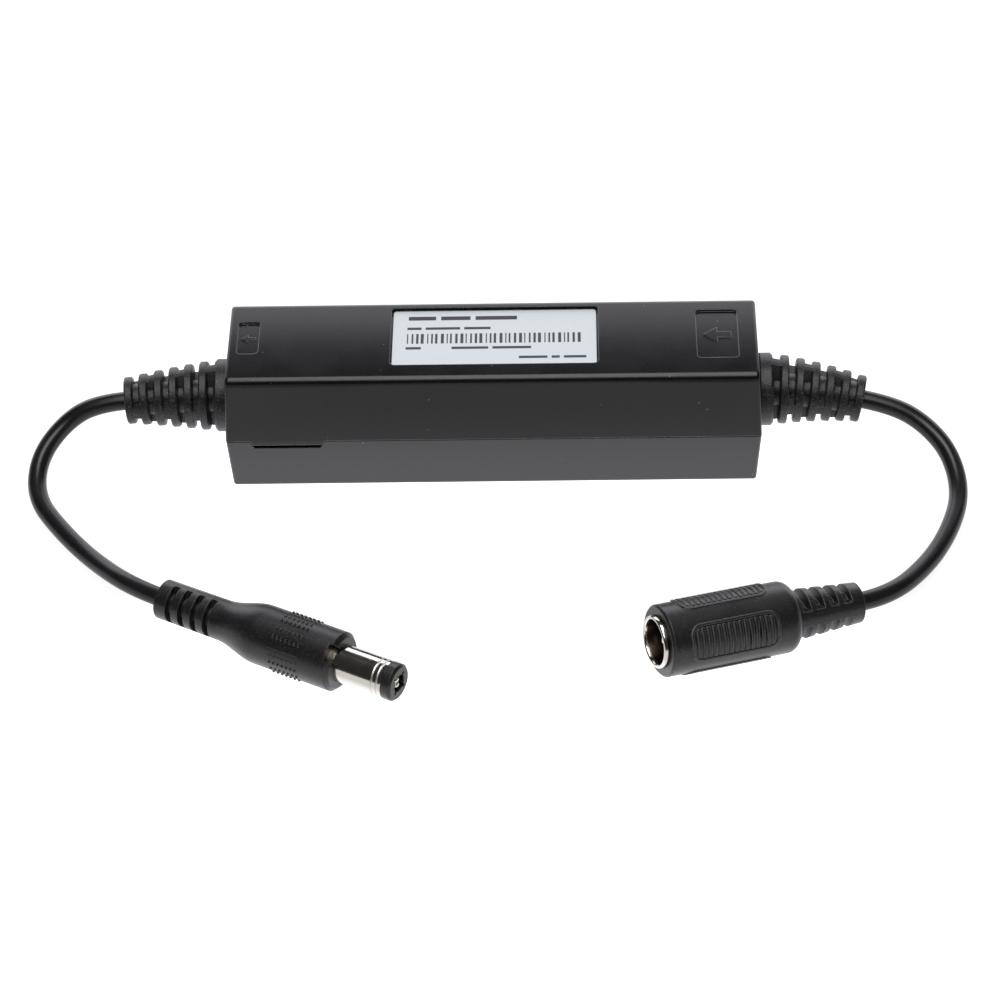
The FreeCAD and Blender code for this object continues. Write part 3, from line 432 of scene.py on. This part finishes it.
# Its edges carry a painted highlight and its grain's tops painted glints.
give(black_moulding("jack_moulding", (0.006, 0.006, 0.0068), gloss=0.38, grain=0.00027,
                    depth=0.000016, edge=0.00017, painted_edge_highlight=0.22, painted_grain_glint=0.022),
     "jack_moulding")
socket_nickel = (0.62, 0.59, 0.54)
# The sleeve's bore, inside the mouth, is painted near-black brown: painted shade in the bore.
socket_finish = plate("socket_nickel", socket_nickel, 0.15, jack_place, 31.5,
                      (0.075, 0.058, 0.044), 0.25)
pin_finish = plate("pin_nickel", socket_nickel, 0.12, jack_place, 22.0, (0.2, 0.17, 0.14), 0.3)
jack_front = 31.2
sleeve_rear = jack_front - 11.4
sleeve_bore = 3.25
sleeve_wall = 3.8
roll_middle = jack_front + 0.48
roll_radius = 3.52
roll_half_length = 0.31
roll_half_height = 0.28
socket_outline = [(sleeve_rear, sleeve_bore), (sleeve_rear, sleeve_wall),
                  (jack_front + 0.02, sleeve_wall)]
for turn in range(15, 166, 25):
    angle = math.radians(turn)
    socket_outline.append((roll_middle + roll_half_length * math.sin(angle),
                           roll_radius + roll_half_height * math.cos(angle)))
socket = add_piece("jack_socket", turned(socket_outline, jack_place), socket_finish)
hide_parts("jack_sleeve")
give(pin_finish, "jack_centre_pin")
give(black_moulding("socket_floor", (0.02, 0.013, 0.01), gloss=0.4, grain=0.0002,
                    depth=0.000004, edge=0.0001),
     "jack_insulator")


# The leads are thin round cable with a soft black jacket that stays a little uneven where
# it was coiled. Each leaves its boot, sinks to the table and ends in its connector.
jacket_finish = black_moulding("lead_jacket", (0.008, 0.008, 0.0088), gloss=0.30, grain=0.0005,
                               depth=0.000006, edge=0.0, shine=0.35)
jacket_radius = 0.0014


def lead(name, route):
    """A round lead on one smooth line that follows a route of points in mm."""
    curve = bpy.data.curves.new(name, "CURVE")
    curve.dimensions = "3D"
    curve.bevel_depth = jacket_radius
    curve.bevel_resolution = 8
    curve.resolution_u = 16
    curve.use_fill_caps = True
    line = curve.splines.new("NURBS")
    line.points.add(len(route) - 1)
    for point, spot in zip(line.points, route):
        point.co = (spot[0] * mm, spot[1] * mm, spot[2] * mm, 1.0)
    line.order_u = 3
    line.use_endpoint_u = True
    curve.materials.append(jacket_finish)
    piece = bpy.data.objects.new(name, curve)
    bpy.context.scene.collection.objects.link(piece)
    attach(piece, "root")
    return piece


output_route = [(-55.55, -0.48, 9.72), (-60.33, -0.76, 9.44), (-65.2, -2.1, 6.7),
                (-68.8, -6.9, 3.9), (-68.7, -13.9, 2.0), (-64.2, -20.9, 1.6), (-58.8, -27.8, 1.7),
                (-52.0, -35.75, 3.6), (-47.3, -38.4, 3.79)]
input_route = [(55.45, -1.2, 9.0), (60.14, -1.91, 8.29), (64.8, -3.9, 6.3), (68.4, -8.0, 4.0),
               (69.5, -14.9, 2.0), (67.3, -22.8, 1.7), (63.3, -30.6, 1.8), (57.09, -38.5, 2.98),
               (52.14, -40.55, 3.66)]
output_lead = lead("output_cable", output_route)
input_lead = lead("input_cable", input_route)
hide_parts("output_lead")
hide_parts("input_lead")


# Inside the closed case a board carries the transformer, the choke and the small parts,
# which are soldered to it, and short insulated wires join it to the leads. Each has the
# finish that such a part has.
def made_part(name, colour, gloss, grain, depth, metallic=0.0):
    """A plain industrial finish with a slight clouding and grain."""
    material, place = new_finish(name)
    cloud = place.noise(8 * grain)
    place.close(Base_Color=cloud.colours(shade(colour, 0.82), shade(colour)), Metallic=metallic,
                Roughness=gloss + 0.12 * (cloud - 0.5), Normal=place.noise(grain, 3.0).bump(depth))
    return material


give(made_part("solder_mask", (0.02, 0.12, 0.05), 0.32, 0.0003, 0.000004), "circuit_board")
give(made_part("ferrite", (0.05, 0.05, 0.052), 0.6, 0.0002, 0.00001),
     "transformer_core", "choke_core")
give(made_part("former_plastic", (0.02, 0.02, 0.02), 0.45, 0.0002, 0.000005), "transformer_bobbin")
give(made_part("winding_tape", (0.7, 0.5, 0.08), 0.35, 0.0005, 0.00001), "transformer_winding")
give(made_part("copper_enamel", (0.55, 0.2, 0.08), 0.3, 0.0003, 0.00002, 0.6), "choke_windings")
give(made_part("can_sleeve", (0.02, 0.03, 0.07), 0.3, 0.0004, 0.000004),
     "input_capacitor", "output_capacitor")
give(made_part("package_compound", (0.022, 0.022, 0.022), 0.55, 0.0001, 0.000006),
     "controller_chip", "optocoupler", "rectifier_diode", "switching_transistor")
give(made_part("ceramic_coat", (0.05, 0.16, 0.42), 0.25, 0.0005, 0.00001), "isolation_capacitor")
give(made_part("fuse_ceramic", (0.7, 0.68, 0.6), 0.35, 0.0002, 0.000004), "input_fuse")
give(made_part("chip_ceramic", (0.4, 0.3, 0.2), 0.4, 0.0001, 0.000004), "chip_components")
give(made_part("live_insulation", (0.45, 0.02, 0.02), 0.4, 0.0003, 0.000004),
     "input_live_wire", "output_live_wire")
give(made_part("return_insulation", (0.015, 0.015, 0.016), 0.4, 0.0003, 0.000004),
     "input_return_wire", "output_return_wire")


# The studio: a white light table that is brightest round the case and the connectors, a wide
# white wall behind, a softbox straight above, and darkness on the camera's side.
case_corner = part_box("lower_shell")[1]
table_level = -0.00001
table_shape = bmesh.new()
bmesh.ops.create_grid(table_shape, x_segments=1, y_segments=1, size=2.0,
                      matrix=Matrix.Translation((0.0, 0.0, table_level)))
table_mesh = bpy.data.meshes.new("table")
table_shape.to_mesh(table_mesh)
table_shape.free()
table = bpy.data.objects.new("table", table_mesh)
bpy.context.scene.collection.objects.link(table)
table_finish, place = new_finish("light_table")
far_glow = grey(0.365)
near_glow = shade((0.68, 0.67, 0.705))
case_fade = 0.014
connector_fade = 0.006
connector_middle = Vector((0.019, 0, 0))
connector_half_length = 0.016
connector_half_width = 0.002


def beside(along, across, fade):
    """1 at a thing, and fading with the distance beyond its length and its width."""
    return along.maths("EXPONENT", (along * along + across * across) * (-1 / fade ** 2))


near_case = beside(place.axis("X").over(case_corner.x), place.axis("Y").over(case_corner.y),
                   case_fade)
glow = near_case.colours(far_glow, near_glow)
for connector in (plug_place, jack_place):
    heading = (connector.to_3x3() @ Vector((1, 0, 0))).to_2d().normalized()
    middle = (connector @ connector_middle).to_2d()
    spans = [(place.dot((*way, 0.0)) - middle.dot(way)).over(half)
             for way, half in ((heading, connector_half_length),
                               (heading.orthogonal(), connector_half_width))]
    glow = beside(*spans, connector_fade).colours(glow, near_glow)
place.close(Base_Color=grey(0.15), Roughness=0.9, Emission_Color=glow, Emission_Strength=2.5)
table_mesh.materials.append(table_finish)


def panel(name, centre, target, width, height, radiance, colour):
    """A rectangular light that faces a point, of even brightness."""
    data = bpy.data.lights.new(name, "AREA")
    data.shape = "RECTANGLE"
    data.size = width
    data.size_y = height
    data.energy = radiance * math.pi * width * height
    data.color = colour
    light = bpy.data.objects.new(name, data)
    light.location = centre
    light.rotation_euler = (Vector(target) - Vector(centre)).to_track_quat("-Z", "Y").to_euler()
    light.visible_camera = False
    bpy.context.scene.collection.objects.link(light)


panel("softbox", centre=(0.0, -0.25, 1.0), target=(0.0, -0.25, 0.0), width=0.45, height=1.1,
      radiance=6.5, colour=(1.0, 1.0, 1.0))
panel("rear_wall", centre=(0.0, 1.5, 0.65), target=(0.0, 0.0, 0.65), width=3.0, height=1.3,
      radiance=2.5, colour=(0.98, 0.97, 1.04))
world = bpy.data.worlds.new("studio")
world.use_nodes = True
world.node_tree.nodes["Background"].inputs["Color"].default_value = (0.035, 0.035, 0.037, 1.0)
bpy.context.scene.world = world
bpy.context.scene.view_settings.view_transform = "Standard"
